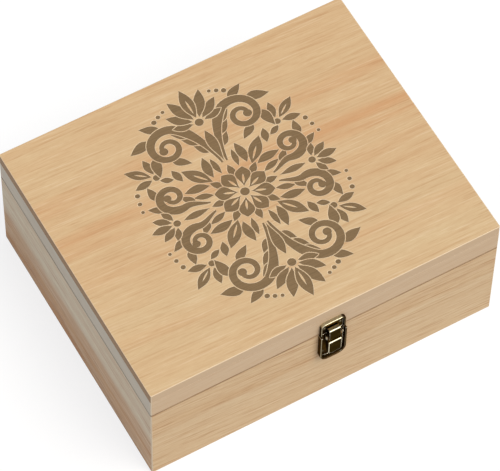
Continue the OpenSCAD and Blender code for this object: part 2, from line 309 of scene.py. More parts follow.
def growth_lines(tree, where, pith, spacing):
    """Growth rings round a pith line outside the board, that many millimetres apart."""
    from_pith = add(tree, "VectorMath", {0: where, 1: (0, *pith)}, operation="SUBTRACT").outputs[0]
    flat = add(tree, "VectorMath", {0: from_pith, 1: (TREE_TAPER, 1, 1)}, operation="MULTIPLY")
    radius = add(tree, "VectorMath", {0: flat.outputs[0]}, operation="LENGTH").outputs["Value"]
    uneven = sum_of(tree, "MULTIPLY", stripes(tree, where, *YEAR_STRIPE), YEAR_UNEVEN)
    phase = sum_of(tree, "MULTIPLY_ADD", radius, 1 / spacing, uneven)
    year = sum_of(tree, "FRACT", phase)
    return sum_of(tree, "POWER", year, YEAR_SHARPNESS)


print("growth lines ready")

# %% [markdown]
# Here and there a board holds a band of heartwood, warmer than the rest, often with closer dark streaks.
# A colour ramp across the board says how warm it is at each place. The place is shifted by the stripes
# before its warmth is looked up, so a band's edge frays along the grain as it does in wood, and slow
# patches make the band fade and come back along its length.

# %% Warm bands
PALE = colour(222, 197, 153)
WARM = colour(212, 160, 110)
FRAY = 7.0
PATCH_STRIPE = (170, 12, 1.0)
PATCH_RANGE = (0.35, 0.62)
PATCH_LEAST = 0.5


def warm_bands(tree, position, fraying, bands, low, high):
    """How warm the wood is across the board: bands lists (millimetres across, warmth)."""
    frayed = sum_of(tree, "MULTIPLY_ADD", sum_of(tree, "SUBTRACT", fraying, 0.5), FRAY, position)
    ramp = add(tree, "ValToRGB", {0: stretch(tree, frayed, low, high)})
    stops = ramp.color_ramp.elements
    while len(stops) < len(bands):
        stops.new(0.5)
    for stop, (place, warmth) in zip(stops, bands):
        stop.position = (place - low) / (high - low)
        stop.color = (warmth, warmth, warmth, 1)
    return ramp.outputs[0]


print("warm bands ready")

# %% [markdown]
# A finish is those stripes turned into colour. The even tone comes first, with slow bands and the warm
# heartwood over it. Then come pale streaks, soft ones, thin dark ones that break off here and there,
# growth lines, a faint mottle, fibres and a few pores. Dark marks multiply the colour under them, as a
# stain would. The noise seldom leaves the middle of its range, so each kind of stripe names the part of
# the range that it shows; limits the wrong way round pick out the valleys instead of the hills.

# %% Figure of a board
STREAK = colour(206, 160, 112)
PALE_STREAK = colour(240, 220, 184)
WHOLE = (0.3, 0.7)
SLOW_STRIPE, SLOW_SHOWS = (500, 17, 2.0), 0.18
SOFT_STRIPE, SOFT_SHOWS = (170, 4.5, 3.0, 0.6), 0.12
BREAKING_STRIPE = (45, 1.5, 2.0, 0.6)
THIN_RANGE, THIN_SHOWS = (0.55, 0.70), 0.27
PALE_RANGE, PALE_SHOWS = (0.43, 0.30), 0.33
MOTTLE_STRIPE, MOTTLE_RANGE, MOTTLE_SHOWS = (7, 1.8, 2.0, 0.6), (0.35, 0.65), 0.08
FIBRE_STRIPE, FIBRE_SHOWS = (36, 0.7, 2.0, 0.7), 0.17
PORE_STRIPE, PORE_RANGE, PORE_SHOWS = (9, 0.28, 1.0), (0.66, 0.74), 0.18
YEARS_SHOW = 0.08


def figured(tree, where, position, board):
    """The board's colour from its stripes; returns it with the fibres and the growth lines."""
    figure = board["figure"]
    slow = stretch(tree, stripes(tree, where, *SLOW_STRIPE), *WHOLE)
    soft = stretch(tree, stripes(tree, where, *SOFT_STRIPE), *WHOLE)
    breaking = stripes(tree, where, *BREAKING_STRIPE)
    thin, pale = stretch(tree, breaking, *THIN_RANGE), stretch(tree, breaking, *PALE_RANGE)
    fibre = stretch(tree, stripes(tree, where, *FIBRE_STRIPE), *WHOLE)
    pore = stretch(tree, stripes(tree, where, *PORE_STRIPE), *PORE_RANGE)
    mottle = stretch(tree, stripes(tree, where, *MOTTLE_STRIPE), *MOTTLE_RANGE)
    lines = growth_lines(tree, where, board["pith"], board["spacing"])

    slowly = sum_of(tree, "MULTIPLY", slow, SLOW_SHOWS * figure)
    shade = lay_over(tree, slowly, board["tone"], board["warm"])
    if board["bands"]:
        warmth = warm_bands(tree, position, soft, board["bands"], *board["reach"])
        patches = stretch(tree, stripes(tree, where, *PATCH_STRIPE), *PATCH_RANGE, PATCH_LEAST, 1.0)
        shade = lay_over(tree, sum_of(tree, "MULTIPLY", warmth, patches), shade, board["warm"])
        streakier = sum_of(tree, "MULTIPLY_ADD", warmth, board["streaky"], 1.0)
        thin = sum_of(tree, "MULTIPLY", thin, streakier)
    shade = lay_over(tree, sum_of(tree, "MULTIPLY", pale, PALE_SHOWS * figure), shade, PALE_STREAK)
    marks = ((soft, SOFT_SHOWS * figure), (thin, THIN_SHOWS * figure), (lines, YEARS_SHOW * figure),
             (mottle, MOTTLE_SHOWS * figure), (fibre, FIBRE_SHOWS), (pore, PORE_SHOWS))
    for mark, strength in marks:
        shade = lay_over(tree, sum_of(tree, "MULTIPLY", mark, strength), shade, STREAK, "MULTIPLY")
    return shade, fibre, lines


print("figure ready; dark marks are", tuple(round(v, 2) for v in STREAK[:3]), "of the wood")

# %% [markdown]
# A box like this is glued up whole and sawn apart afterwards, so a thin gap runs round it at the seam.
# The gap's shade is painted into the two edges that meet there: evenly along the corner, and in patches
# on the cut itself. The height above the table says how near the seam is, and the board's own normal
# tells the cut from the outside. The corner takes a painted shade of its own on each board: brown on
# most, and nearly black along the left side, where the gap is seen at a flat angle.

# %% Painted shade along the seam
# Painted shade of the gap at the seam: brown on most boards, nearly black on the left side.
SEAM_SHADE = colour(118, 74, 20)
SEAM_SHADE_DARK = colour(34, 28, 20)
SEAM_SHADE_REACH = 0.95
SEAM_SHADE_SHOWS = 0.9
SEAM_SHADE_PATCH_STRIPE = (30, 9, 2.0)
SEAM_SHADE_PATCH_RANGE, SEAM_SHADE_PATCH_LEAST, SEAM_SHADE_PATCH_MOST = (0.42, 0.60), 0.2, 0.6
CUT_FACE = (0.8, 0.95)
seam_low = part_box("front_wall")[1].z / MM
seam_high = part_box("lid_front_rail")[0].z / MM


def shade_seam(tree, shade, where, height, upward, corner):
    """Paint the gap's shade on the seam's edges; upward is how squarely the surface faces up or down."""
    middle = (seam_low + seam_high) / 2 * MM
    from_seam = sum_of(tree, "ABSOLUTE", sum_of(tree, "SUBTRACT", height, middle))
    edge = (seam_high - seam_low) / 2 * MM
    near = stretch(tree, from_seam, edge, edge + SEAM_SHADE_REACH * MM, SEAM_SHADE_SHOWS, 0.0)
    seam_patching = stripes(tree, where, *SEAM_SHADE_PATCH_STRIPE)
    seam_patches = stretch(tree, seam_patching, *SEAM_SHADE_PATCH_RANGE, SEAM_SHADE_PATCH_LEAST, SEAM_SHADE_PATCH_MOST)
    outside = stretch(tree, upward, *CUT_FACE, 1.0, 0.0)
    # Painted shade near the seam: full on the corner, in patches on the cut.
    seam_shading = sum_of(tree, "MULTIPLY", near, sum_of(tree, "MAXIMUM", seam_patches, outside))
    return lay_over(tree, seam_shading, shade, lay_over(tree, outside, SEAM_SHADE, corner))


print("the seam runs from", round(seam_low, 2), "to", round(seam_high, 2), "mm above the table")

# %% [markdown]
# Two more details depend on where a surface lies. End grain drinks more light and looks much browner.
# The outer eased edges, sanded last, are clean wood, made the palest on the box by a painted highlight.
# tells both: it points along the grain on end grain, and it is square to nothing on an eased edge.

# %% Sides, eased edges and end grain
SIDE_FACE = (0.6, 0.8)
# Painted highlight on the eased edges, over their clean sanded wood.
SANDED_HIGHLIGHT = colour(250, 232, 202)
SQUARE, EASED = 0.999, 0.96
END_GRAIN = colour(166, 128, 84)
END_GRAIN_DARK = colour(140, 106, 70)
END_FACE = (0.72, 0.80)


def by_facing(tree, shade, fibre, facing, lengthwise, board):
    """Colour a board's sides and end grain, and paint a highlight on its eased edges, by which way it
    looks.
    """
    if board["side"] is not None:
        shade = lay_over(tree, stretch(tree, facing["Y"], *SIDE_FACE), shade, board["side"])
    squarest = sum_of(tree, "MAXIMUM", sum_of(tree, "MAXIMUM", facing["X"], facing["Y"]), facing["Z"])
    # Painted highlight: the further an edge leans off square, the paler it is made.
    shade = lay_over(tree, stretch(tree, squarest, SQUARE, EASED, 0.0, board["sanded_highlight"]), shade, SANDED_HIGHLIGHT)
    end_colour = lay_over(tree, fibre, END_GRAIN, END_GRAIN_DARK)
    return lay_over(tree, stretch(tree, facing[lengthwise], *END_FACE), shade, end_colour)


print("an edge counts as eased from", round(math.degrees(math.acos(SQUARE)), 1), "degrees off square")

# %% [markdown]
# Now everything comes together in one finish. Nine boards and the panel share it, so what may differ
# between them is written down once, as a plain board, and each board then only says how it differs.
# Along is the way its grain runs: X, Y, or flat for a board that lies on its face. Tilt, shift, pith and
# spacing place the figure in the board, and lean slopes its warm bands. Side is a tone for its front and
# back edges, seam the colour of the painted shade at its seam, and burn how far it is charred.

# %% Board finish
PLAIN_BOARD = {"along": "X", "tilt": 0.0, "shift": (0, 0, 0), "pith": (-20, -70), "spacing": 6.5,
               "tone": PALE, "warm": WARM, "bands": (), "reach": (0, 100), "lean": 0.0, "figure": 1.0,
               "streaky": 0.0, "side": None, "sanded_highlight": 0.85, "seam": None, "burn": 0.0}
CHAR = colour(130, 104, 69)
CHAR_DARK = colour(109, 87, 55)
YEAR_RELIEF = 0.5
RELIEF_STRENGTH, RELIEF_DEPTH = 0.25, 0.03 * MM
SMOOTHEST, ROUGHEST = 0.50, 0.64
WOOD_SHEEN = 0.35


def wood(name, **differences):
    """Planed softwood, like the plain board but for the differences."""
    board = {**PLAIN_BOARD, **differences}
    material, tree, surface = new_material(name)
    place, where = grain_space(tree, board["along"], board["tilt"], board["shift"])
    where = wandering(tree, where)
    at = add(tree, "SeparateXYZ", {0: place.outputs["Object"]}).outputs
    looks = add(tree, "VectorMath", {0: place.outputs["Normal"]}, operation="ABSOLUTE").outputs[0]
    facing = add(tree, "SeparateXYZ", {0: looks}).outputs
    lengthwise = "Y" if board["along"] == "Y" else "X"
    across = at["Y" if board["along"] == "flat" else "Z"]
    leaning = sum_of(tree, "MULTIPLY_ADD", at[lengthwise], board["lean"], across)

    shade, fibre, lines = figured(tree, where, sum_of(tree, "MULTIPLY", leaning, MM_PER_METRE), board)
    shade = by_facing(tree, shade, fibre, facing, lengthwise, board)
    if board["seam"] is not None:
        shade = shade_seam(tree, shade, where, at["Z"], facing["Z"], board["seam"])
    if board["burn"]:
        shade = lay_over(tree, board["burn"], shade, lay_over(tree, fibre, CHAR, CHAR_DARK))

    relief = sum_of(tree, "MULTIPLY_ADD", lines, YEAR_RELIEF, fibre)
    bump = add(tree, "Bump", {"Height": relief, "Strength": RELIEF_STRENGTH, "Distance": RELIEF_DEPTH})
    rough = stretch(tree, fibre, 0, 1, SMOOTHEST, ROUGHEST)
    skin = add(tree, "BsdfPrincipled", {"Base Color": shade, "Roughness": rough,
                                        "Specular IOR Level": WOOD_SHEEN, "Normal": bump.outputs[0]})
    tree.links.new(skin.outputs[0], surface)
    return material


print("wood finish ready;", len(PLAIN_BOARD), "things can differ from board to board")

# %% [markdown]
# The boards keep their shape from the construction. A file or a sheet of sandpaper has been over every
# edge, so each gets a tiny rounding. The imported surfaces are cut into triangles, so they are welded and
# their flat areas joined first; then the bevel finds the true edges. Weighted normals keep the big faces
# flat and let only the roundings shade smoothly.

# %% Rounded edges on a finished part
WELD = 0.001 * MM
FLAT = math.radians(0.6)
EDGE = math.radians(28)
EDGE_STEPS = 2
OWN_SLOT = -1


def round_edges(part, width, edge_slot=OWN_SLOT):
    """Round a part's sharp edges by that width; the roundings can take a material slot of their own."""
    weld = part.modifiers.new("weld", "WELD")
    weld.merge_threshold = WELD
    join = part.modifiers.new("join_flats", "DECIMATE")
    join.decimate_type = "DISSOLVE"
    join.angle_limit = FLAT
    bevel = part.modifiers.new("round_edges", "BEVEL")
    bevel.width = width
    bevel.segments = EDGE_STEPS
    bevel.limit_method = "ANGLE"
    bevel.angle_limit = EDGE
    bevel.material = edge_slot
    shading = part.modifiers.new("shading", "WEIGHTED_NORMAL")
    shading.keep_sharp = False


def give(part, *materials):
    """Put materials into a part's slots, in place of what it came with."""
    slots = part.data.materials
    while len(slots) < len(materials):
        slots.append(None)
    for number, material in enumerate(materials):
        slots[number] = material


print("edge tools ready")

# %% [markdown]
# Nine boards come from different planks, so each takes its figure from another place in the tree. The
# ones that show most are told more: the front has a streaky warm band below the seam, the left side is a
# paler, cooler plank with heartwood along its foot, and the lid's rails are plainer than the walls.

# %% Case boards
BOARD_EDGE = 0.25 * MM
FRONT_BANDS = ((0, 0.15), (44, 0.10), (55, 0.05), (58, 0.42), (68, 0.33), (78, 0.26), (86, 0.22),
               (99, 0.22))
LEFT_BANDS = ((0, 1.0), (8, 1.0), (18, 0.82), (36, 0.75), (44, 0.45), (52, 0.08), (94, 0.0))

boards = {
    "front_wall": wood("front_board", tilt=-5, shift=(40, 0, 0), pith=(-60, 20), spacing=9,
                       tone=colour(230, 207, 167), warm=colour(209, 167, 114), bands=FRONT_BANDS,
                       figure=1.4, streaky=2.4, seam=SEAM_SHADE),
    "back_wall": wood("back_board", shift=(310, 5, 40), pith=(-80, 90), spacing=8, seam=SEAM_SHADE),
    "left_wall": wood("left_board", along="Y", shift=(0, 900, 0), pith=(-70, 130), spacing=9,
                      tone=colour(232, 223, 197), warm=colour(203, 150, 92), bands=LEFT_BANDS,
                      reach=(0, 95), figure=1.7, streaky=0.8, seam=SEAM_SHADE_DARK),
    "right_wall": wood("right_board", along="Y", shift=(0, 300, 0), pith=(-80, -60), spacing=8,
                       seam=SEAM_SHADE),
    "bottom_panel": wood("bottom_board", along="flat", shift=(120, 60, 300), pith=(30, 220), spacing=8,
                         tone=colour(226, 200, 162)),
}
print("case boards:", list(boards))

# %% [markdown]
# The lid's four rails are narrow, so only two or three growth lines fit across each. Once every board has
# its finish, all nine are given it in one go, with a quarter of a millimetre taken off their sharp edges.

# %% Lid rails
boards.update({
    "lid_front_rail": wood("front_rail", shift=(700, 0, 500), pith=(-70, 640), spacing=7,
                           tone=colour(216, 191, 157), figure=0.5, seam=SEAM_SHADE),
    "lid_back_rail": wood("back_rail", shift=(1100, 0, 800), pith=(70, 900), spacing=7, seam=SEAM_SHADE),
    "lid_left_rail": wood("left_rail", along="Y", shift=(0, 1500, 200), pith=(-70, 340), spacing=7,
                          tone=colour(210, 203, 185), figure=0.5, seam=SEAM_SHADE_DARK),
    "lid_right_rail": wood("right_rail", along="Y", shift=(0, 1900, 300), pith=(-70, 440), spacing=7,
                           seam=SEAM_SHADE),
})
for name, finish in boards.items():
    give(nodes[name], finish)
    round_edges(nodes[name], BOARD_EDGE)
print("boards finished:", len(boards))

# %% [markdown]
# ## The ornament
# The lid carries a burnt ornament: a rosette, scrolls and leaf fans, the same in all four quarters, filling
# an upright oval. It is drawn as flat outlines in millimetres, painted one over another like a stencil:
# each shape first clears a thin line of bare wood round itself, then leaves its own burn. Drawing it with
# short rules, a leaf, a bead and a scroll, keeps it exact at any size, where a picture would blur.

# %% A stencil and its paint
BARE_LINE = 0.7
SHARPEST = 0.4
QUARTERS = ((1, 1), (-1, 1), (1, -1), (-1, -1))
MIDDLE = ((1, 1),)
painted = []


def paint(outline, burnt, where=QUARTERS):
    """Paint an outline in each quarter; what is painted later lies on top."""
    for mirror in where:
        painted.append((outline * np.array(mirror), burnt))


def clockwise(outline):
    """Whether an outline runs clockwise: then the area that it goes round counts as negative."""
    x, y = outline.T
    return np.sum(x * np.roll(y, -1) - np.roll(x, -1) * y) < 0


def grown(outline, by):
    """The outline moved outwards all round, with its sharpest corners held back."""
    step = np.roll(outline, -1, 0) - outline
    step /= np.linalg.norm(step, axis=1)[:, None]
    out = np.stack([step[:, 1], -step[:, 0]], 1)
    if clockwise(outline):
        out = -out
    corner = out + np.roll(out, 1, 0)
    corner /= np.maximum(np.linalg.norm(corner, axis=1), SHARPEST)[:, None]
    return outline + corner * by


print("stencil ready; bare line", BARE_LINE, "mm")

# %% [markdown]
# Two small shapes do most of the work. A leaf is a pointed blade that swells and thins and may lean, and a
# broad one takes a bare vein. A bead is a round dot. Each is written once and then only placed.

# %% Leaves and beads
BLADE_POINTS = 17
RING_POINTS = 20
VEIN_LENGTH, VEIN_HALF, VEIN_FOOT = 0.5, 0.16, 0.14


def turned(points, angle, place):
    """Turn points about the start and carry them to a place."""
    turn = math.radians(angle)
    c, s = math.cos(turn), math.sin(turn)
    return points @ np.array([[c, s], [-s, c]]) + np.array(place)


def blade(length, half, lean=0.0, belly=0.5):
    """A pointed blade from its foot at the start: half its width, its lean and where it is widest."""
    t = np.linspace(0, 1, BLADE_POINTS)
    swell = half * np.sin(math.pi * t ** (math.log(0.5) / math.log(belly)))
    middle = np.stack([length * t, lean * t ** 2], 1)
    side = np.stack([np.zeros(BLADE_POINTS), swell], 1)
    return np.concatenate([middle + side, (middle - side)[-2:0:-1]])


def leaf(foot, heading, length, half, lean=0.0, belly=0.45, where=QUARTERS, vein=False):
    """A burnt leaf, with a bare vein where it is broad enough to take one."""
    shape = turned(blade(length, half, lean, belly), heading, foot)
    paint(grown(shape, BARE_LINE), False, where)
    paint(shape, True, where)
    if vein:
        slit = blade(length * VEIN_LENGTH, half * VEIN_HALF) + np.array([length * VEIN_FOOT, 0])
        paint(turned(slit, heading, foot), False, where)


def ring(centre, radius):
    turn = np.linspace(0, 2 * math.pi, RING_POINTS, endpoint=False)
    return np.stack([np.cos(turn), np.sin(turn)], 1) * radius + np.array(centre)


def bead(centre, radius, where=QUARTERS):
    """A burnt dot."""
    paint(ring(centre, radius + BARE_LINE), False, where)
    paint(ring(centre, radius), True, where)


print("leaf of", len(blade(2, 1)), "points and bead of", RING_POINTS, "ready")

# %% [markdown]
# A scroll is one line: a stem that leaves in one direction and arrives in another, and then a spiral that
# tightens evenly. A brush whose width swells and thins along the way turns the line into an outline.

# %% Scrolls
STEM_POINTS = 24
SPIRAL_POINTS = 56
BRUSH_WIDEST_AT = 0.3


def stem(start, heading, end, arrival):
    """A smooth line that leaves the start and reaches the end at those headings."""
    first, last = np.array(start, float), np.array(end, float)
    reach = np.linalg.norm(last - first)
    t = np.linspace(0, 1, STEM_POINTS)[:, None]
    return ((2 * t ** 3 - 3 * t ** 2 + 1) * first + (t ** 3 - 2 * t ** 2 + t) * polar(reach, heading)
            + (3 * t ** 2 - 2 * t ** 3) * last + (t ** 3 - t ** 2) * polar(reach, arrival))


def spiral(centre, wide, tight, begin, sweep):
    """A spiral round a centre, from a wide radius to a tight one."""
    return np.array([polar(wide * (tight / wide) ** t, begin + sweep * t, centre)
                     for t in np.linspace(0, 1, SPIRAL_POINTS)])


def distance_along(line):
    return np.concatenate([[0], np.cumsum(np.linalg.norm(np.diff(line, axis=0), axis=1))])


def beside(line):
    """At each point of a line, the direction square to it, on its left."""
    ahead = np.gradient(line, axis=0)
    ahead /= np.linalg.norm(ahead, axis=1)[:, None]
    return np.stack([-ahead[:, 1], ahead[:, 0]], 1)


def brushed(line, foot, belly, tip, extra=0.0):
    """The outline of a brush stroke along a line, by half its width at the foot, the belly and the tip."""
    run = distance_along(line)
    half = np.interp(run / run[-1], [0, BRUSH_WIDEST_AT, 1], [foot, belly, tip]) + extra
    side = beside(line) * half[:, None]
    return np.concatenate([line + side, (line - side)[::-1]])


def scroll(start, heading, centre, wide, tight, begin, sweep, widths, ball, leaves):
    """A scroll with its leaves: (distance along it, turn away from it, length, half width, lean)."""
    arrival = begin + math.copysign(90, sweep)
    stalk = stem(start, heading, polar(wide, begin, centre), arrival)
    line = np.concatenate([stalk, spiral(centre, wide, tight, begin, sweep)[1:]])
    run = distance_along(line)
    for distance, turn, length, half, lean in leaves:
        spot = int(np.searchsorted(run, distance))
        ahead = line[spot] - line[spot - 1]
        leaf(line[spot], math.degrees(math.atan2(ahead[1], ahead[0])) + turn, length, half, lean)
    bead(line[-1], ball)
    paint(brushed(line, *widths, BARE_LINE), False)
    paint(brushed(line, *widths), True)
    paint(ring(line[-1], ball), True)


print("scroll of", STEM_POINTS + SPIRAL_POINTS - 1, "points ready")

# %% [markdown]
# Now the ornament itself, from the back of the stack to the front. First come the sprays on the diagonals
# and the corner fans, which the scrolls will partly cover. Everything is placed on half-millimetres
# in one quarter, measured from the middle, as it would be with compasses and a rule.

# %% Sprays and corner fans
leaf((7.5, 24), 80, 17, 2.5, 1.0, 0.5)
leaf((22.5, 9), 22, 16, 2.8, -1.0, 0.5)
leaf((37.5, 32.5), 76, 14, 3.2, 0, 0.5)
leaf((43, 37.5), 22, 11, 2.6, 0.8, 0.5)
for heading, across in ((18, 41), (82, 58)):
    leaf(polar(28, across), heading, 21, 3.9, math.copysign(3.5, heading - 50), 0.5)
leaf(polar(27, 50), 50, 27, 5.4, 0, 0.5, vein=True)

FAN = (54, 46)
for heading, length, half in ((-8, 16, 3.3), (84, 16, 3.3)):
    leaf(polar(4, heading, FAN), heading, length, half, 0, 0.5)
leaf(polar(4, 38, FAN), 38, 22, 4.2, 0, 0.5, vein=True)
bead(FAN, 2.8)
print("outlines so far:", len(painted))

# %% [markdown]
# Two scrolls fill each quarter: a tall one that curls up towards the end of the oval, and a low one that
# curls out to its side. Leaves stand along the stems and round the outside of the curls, and lean with
# them.

# %% The two scrolls of a quarter
scroll((2, 33), 84, (33, 66), 18, 4.6, 126, -500, (0.7, 4.2, 1.8), 3.6,
       ((13, -44, 15, 3.2, 3), (24, -46, 17, 3.6, 4), (36, -46, 15, 3.3, 4), (61, 44, 18, 4.0, -4),
        (74, 44, 20, 4.6, -4.5), (88, 44, 20, 4.4, -4.5), (101, 44, 17, 3.8, -4)))
scroll((28, 4.5), 14, (52, 23.5), 14, 3.9, -108, 480, (0.7, 3.8, 1.7), 3.3,
       ((11, 42, 14, 3.2, -3), (35, -44, 14, 3.2, 3), (46, -44, 15, 3.6, 3.5)))
print("outlines so far:", len(painted))

# %% [markdown]
# On top lie the palmettes where the axes meet the rim, the buds that point at them, and the rosette with
# its two rounds of petals. The rosette is painted once, not in every quarter, because it turns about the
# middle.

# %% Palmettes, buds and rosette
END_PALMETTE, SIDE_PALMETTE = (0, 76), (60, 0)
for heading, length, half in ((6, 17, 3.4), (33, 22, 4.1), (61, 27, 4.6)):
    leaf(polar(5, heading, END_PALMETTE), heading, length, half, 1.6, 0.52)
leaf(polar(5, 90, END_PALMETTE), 90, 30, 5.2, 0, 0.5, vein=True)
bead(END_PALMETTE, 3.6)
for heading, length, half in ((70, 12, 2.8), (35, 15.5, 3.2), (0, 18, 3.6)):
    leaf(polar(4, heading, SIDE_PALMETTE), heading, length, half, -heading / 50, 0.52)
bead(SIDE_PALMETTE, 3.0)

leaf((0, 33), 90, 34, 4.0, 0, 0.62)
leaf((31, 0), 0, 23, 3.0, 0, 0.55)
PETALS = 8
for petal in range(PETALS):
    heading = 360 / PETALS * petal
    leaf(polar(15, heading), heading, 14, 3.0, 0, 0.5, MIDDLE)
for petal in range(PETALS):
    heading = 360 / PETALS * (petal + 0.5)
    leaf(polar(5, heading), heading, 19, 6.2, 0, 0.62, MIDDLE, vein=True)
bead((0, 0), 3.8, MIDDLE)
print("outlines so far:", len(painted))

# %% [markdown]
# Short rows of three beads, which grow away from the palmettes, finish the rim between them.

# %% Beads along the rim
BEADS_IN_ROW = 3
BEAD_TURN = 4.3
for first, rim, size, change in ((65.3, (75, 103), 2.1, -0.3), (12, (80, 108), 1.4, 0.3)):
    for number in range(BEADS_IN_ROW):
        turn = math.radians(first + BEAD_TURN * number)
        bead((rim[0] * math.cos(turn), rim[1] * math.sin(turn)), size + change * number)
print("ornament drawn with", len(painted), "outlines")

# %% [markdown]
# The lid's panel is built as one closed skin, starting at its border. A bevel would have to find the edges
# among thousands of small faces once the ornament is cut, so the rounding is built in instead: the outline
# of the panel is repeated a few times, each ring a little lower than the last, down to the underside.

# %% Border of the lid panel
PANEL_ROUND = 0.7
CORNER_ROUND = 1.3
CORNER_STEPS = 4
ROUND_STEPS = 4
UNDER_ROUND = 0.15


def panel_ring(half_x, half_y, inset):
    """The panel's outline, drawn in by an inset, with small round corners."""
    radius = CORNER_ROUND - inset
    points = []
    for corner, (sx, sy) in enumerate(((1, 1), (-1, 1), (-1, -1), (1, -1))):
        middle = (sx * (half_x - CORNER_ROUND), sy * (half_y - CORNER_ROUND))
        for step in range(CORNER_STEPS + 1):
            points.append(polar(radius, 90 * (corner + step / CORNER_STEPS), middle))
    return points


def panel_steps(low, high):
    """Insets and heights of the panel's edge, from its top face down to its underside."""
    for step in range(ROUND_STEPS + 1):
        turn = math.pi / 2 * step / ROUND_STEPS
        yield PANEL_ROUND * (1 - math.sin(turn)), high - PANEL_ROUND * (1 - math.cos(turn))
    yield 0, low + UNDER_ROUND
    yield UNDER_ROUND, low


def panel_border(mesh, low, high):
    """The panel's rounded edges and its underside; returns the ring of corners round the top."""
    rings = [[mesh.verts.new((*point, z)) for point in panel_ring(high.x, high.y, inset)]
             for inset, z in panel_steps(low.z, high.z)]
    for upper, lower in zip(rings, rings[1:]):
        for here in range(len(upper)):
            ahead = (here + 1) % len(upper)
            mesh.faces.new((upper[here], lower[here], lower[ahead], upper[ahead])).smooth = True
    mesh.faces.new(list(reversed(rings[-1])))
    return rings[0]


print("border of", len(panel_ring(10, 10, 0)), "corners, rounded by", PANEL_ROUND, "mm")

# %% [markdown]
# The outlines are cut into the top face together, with a constrained triangulation: it splits every
# crossing and says which outlines cover each triangle. The one painted last decides whether the triangle
# is bare wood or burnt. The whole drawing is first scaled a little and moved off the middle, as a hot tool
# guided by hand would leave it.

# %% Cutting the ornament into the top
ORNAMENT_AT = np.array((-2.7, 0.5))
ORNAMENT_SIZE = np.array((0.975, 0.935))
SAME_POINT = 1e-5
TRIANGLES_INSIDE = 1


def cut_top(border):
    """Triangulate the top with every outline; returns points, triangles and which of them are burnt."""
    points = [Vector(corner) for corner in border]
    outlines = [list(range(len(border)))]
    for outline, _ in painted:
        if clockwise(outline):
            outline = outline[::-1]
        first = len(points)
        points += [Vector(point) for point in outline * ORNAMENT_SIZE + ORNAMENT_AT]
        outlines.append(list(range(first, len(points))))
    cut = delaunay_2d_cdt(points, [], outlines, TRIANGLES_INSIDE, SAME_POINT)
    points, triangles, covered_by = cut[0], cut[2], cut[5]
    burnt = [max(covering) > 0 and painted[max(covering) - 1][1] for covering in covered_by]
    return points, triangles, burnt


print("the ornament is", [round(float(v), 1) for v in ORNAMENT_SIZE * 100], "percent of the drawing")

# %% [markdown]
# The hot tool eats wood away, so the burnt triangles sink by a fifth of a millimetre. Every corner of the
# cut is made at most twice, once at each level, and an upright wall joins the two levels wherever a burnt
# triangle has a bare neighbour. So the skin stays closed.

# %% Sinking what is burnt
BURN_DEPTH = 0.22
BURN_SLOT = 1


def burn_in(mesh, ring_of_top, height):
    """Close the panel with its cut top, and sink what is burnt; returns how many triangles that is."""
    points, triangles, burnt = cut_top([corner.co.xy for corner in ring_of_top])
    level_top = ring_of_top + [None] * (len(points) - len(ring_of_top))
    level_burn = [None] * len(points)

    def corner_at(number, sunk):
        level = level_burn if sunk else level_top
        if level[number] is None:
            level[number] = mesh.verts.new((*points[number], height - (BURN_DEPTH if sunk else 0)))
        return level[number]

    sides = {}
    for triangle, sunk in zip(triangles, burnt):
        face = mesh.faces.new([corner_at(number, sunk) for number in triangle])
        face.material_index = BURN_SLOT if sunk else 0
        for first, second in zip(triangle, triangle[1:] + triangle[:1]):
            sides[first, second] = sunk
    for (first, second), sunk in sides.items():
        if sunk and not sides.get((second, first), True):
            wall = [corner_at(second, True), corner_at(second, False), corner_at(first, False),
                    corner_at(first, True)]
            mesh.faces.new(wall).material_index = BURN_SLOT
    return sum(burnt)


print("the ornament will sink by", BURN_DEPTH, "mm")

# %% [markdown]
# The panel can now be made. A helper turns any mesh drawn in millimetres into an object, and it counts
# the open edges, because a closed skin has none. The panel then takes the place of its construction part
# and rides on the lid. Weighted normals keep its big face flat up to the rounded border.

# %% Lid panel with its ornament
def finished_object(name, mesh):
    """Turn a mesh drawn in millimetres into an object in metres, with its faces looking outwards."""
    bmesh.ops.scale(mesh, vec=(MM, MM, MM), verts=mesh.verts)
    bmesh.ops.recalc_face_normals(mesh, faces=mesh.faces)
    print(name, "has", len(mesh.faces), "faces; open edges:", sum(not e.is_manifold for e in mesh.edges))
    made = bpy.data.objects.new(name, bpy.data.meshes.new(name))
    mesh.to_mesh(made.data)
    mesh.free()
    scene.collection.objects.link(made)
    return made


low, high = (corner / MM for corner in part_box("lid_top_panel"))
skin = bmesh.new()
burnt_triangles = burn_in(skin, panel_border(skin, low, high), high.z)
panel = finished_object("ornamented_lid_panel", skin)
panel.modifiers.new("shading", "WEIGHTED_NORMAL").keep_sharp = False
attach(panel, "lid")
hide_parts("lid_top_panel")
print("burnt triangles:", burnt_triangles)

# %% [markdown]
# The panel's figure runs from left to right. Two warm bands cross it behind the middle, and a few slow
# growth lines bend gently near the front. The burnt wood is the same board, so its fibres run on through
# the ornament under the brown.

# %% Lid panel finish
PANEL_BANDS = ((-120, 0.05), (-84, 0.10), (-76, 0.30), (-66, 0.05), (-12, 0.30), (2, 0.12), (9, 0.50),
               (21, 0.80), (30, 0.25), (48, 0.25), (56, 0.65), (65, 0.20), (90, 0.15), (119, 0.20))
PANEL_BURN = 0.96
panel_figure = {"along": "flat", "tilt": 2.0, "shift": (0, 0, 60), "pith": (-95, 10), "spacing": 7.5,
                "side": colour(207, 178, 143), "bands": PANEL_BANDS, "reach": (-120, 120), "lean": 0.02,
                "sanded_highlight": 0.45}
bare_panel = wood("lid_board", **panel_figure)
burnt_panel = wood("burnt_lid_board", burn=PANEL_BURN, **panel_figure)
give(panel, bare_panel, burnt_panel)
print("panel materials:", [material.name for material in panel.data.materials])

